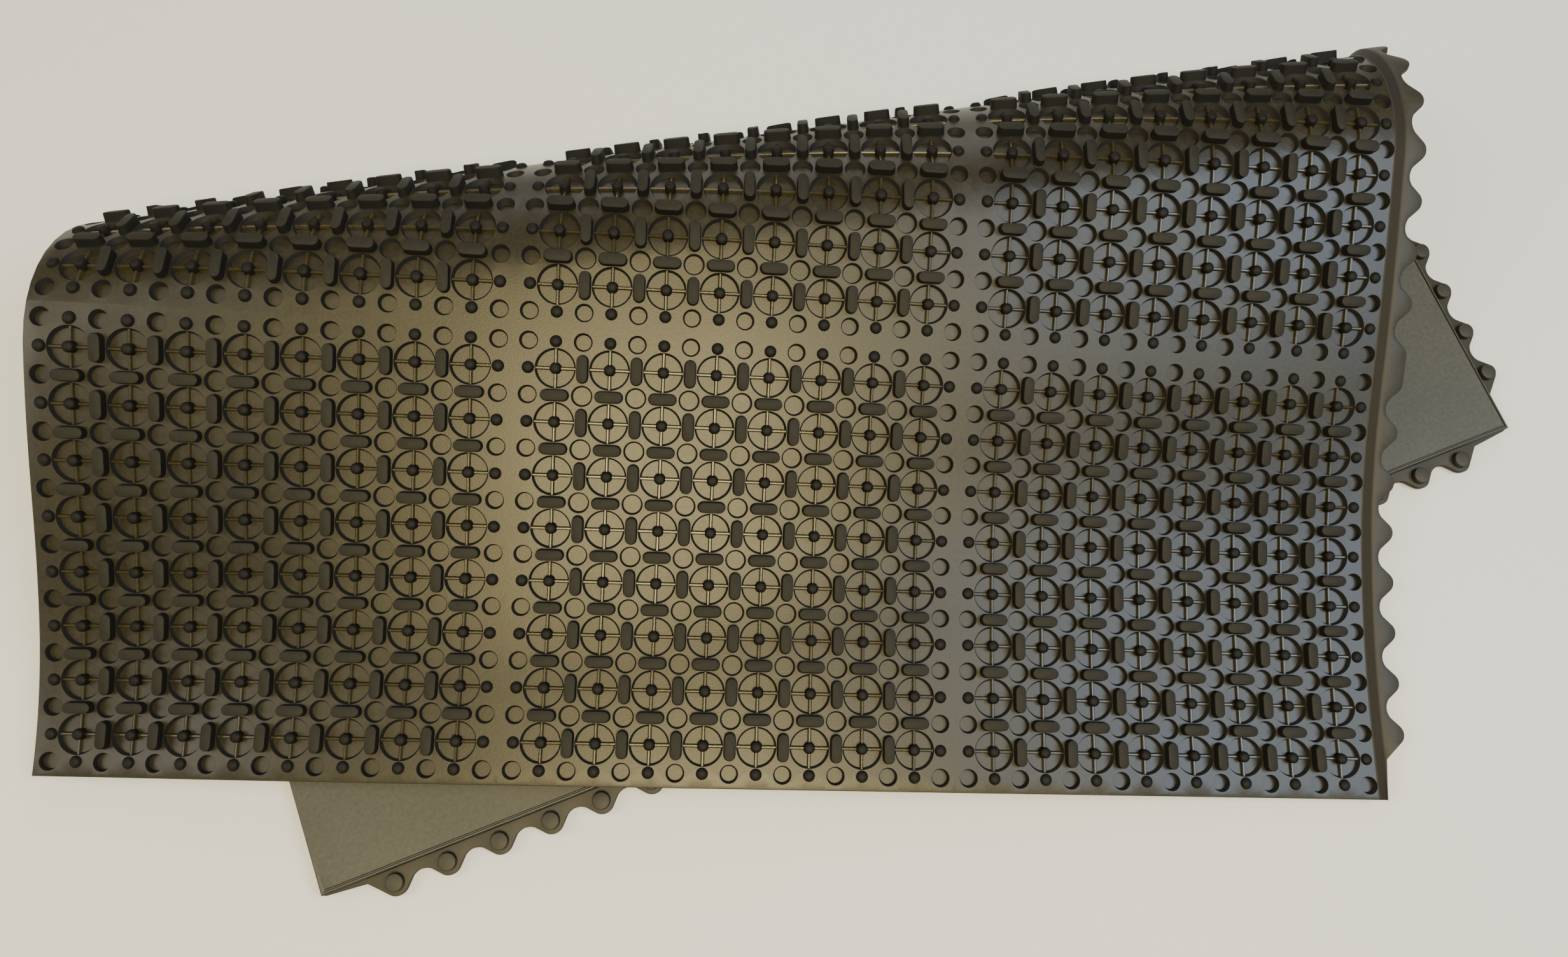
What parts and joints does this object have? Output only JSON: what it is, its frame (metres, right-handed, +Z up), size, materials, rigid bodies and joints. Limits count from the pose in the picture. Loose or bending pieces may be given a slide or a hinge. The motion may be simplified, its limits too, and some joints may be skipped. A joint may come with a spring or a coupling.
{
  "type": "interlocking rubber mat",
  "caption": "Square interlocking rubber floor mat, smooth on top with pads underneath and two toothed edges, lying folded over once so its underside shows.",
  "frame": {"origin": "centre of the folded mat's footprint, on the floor that it lies on", "axes": "+Z up, +X along the fold toward its right-hand end in the picture, +Y toward the bend of the fold"},
  "size_m": [1.083, 0.5484, 0.1189],
  "materials": {
    "rubber": "moulded black rubber, satin on the web, matt and dusty on the pads"
  },
  "bodies": {
    "root": {"mat": "rubber"}
  },
  "joints": []
}
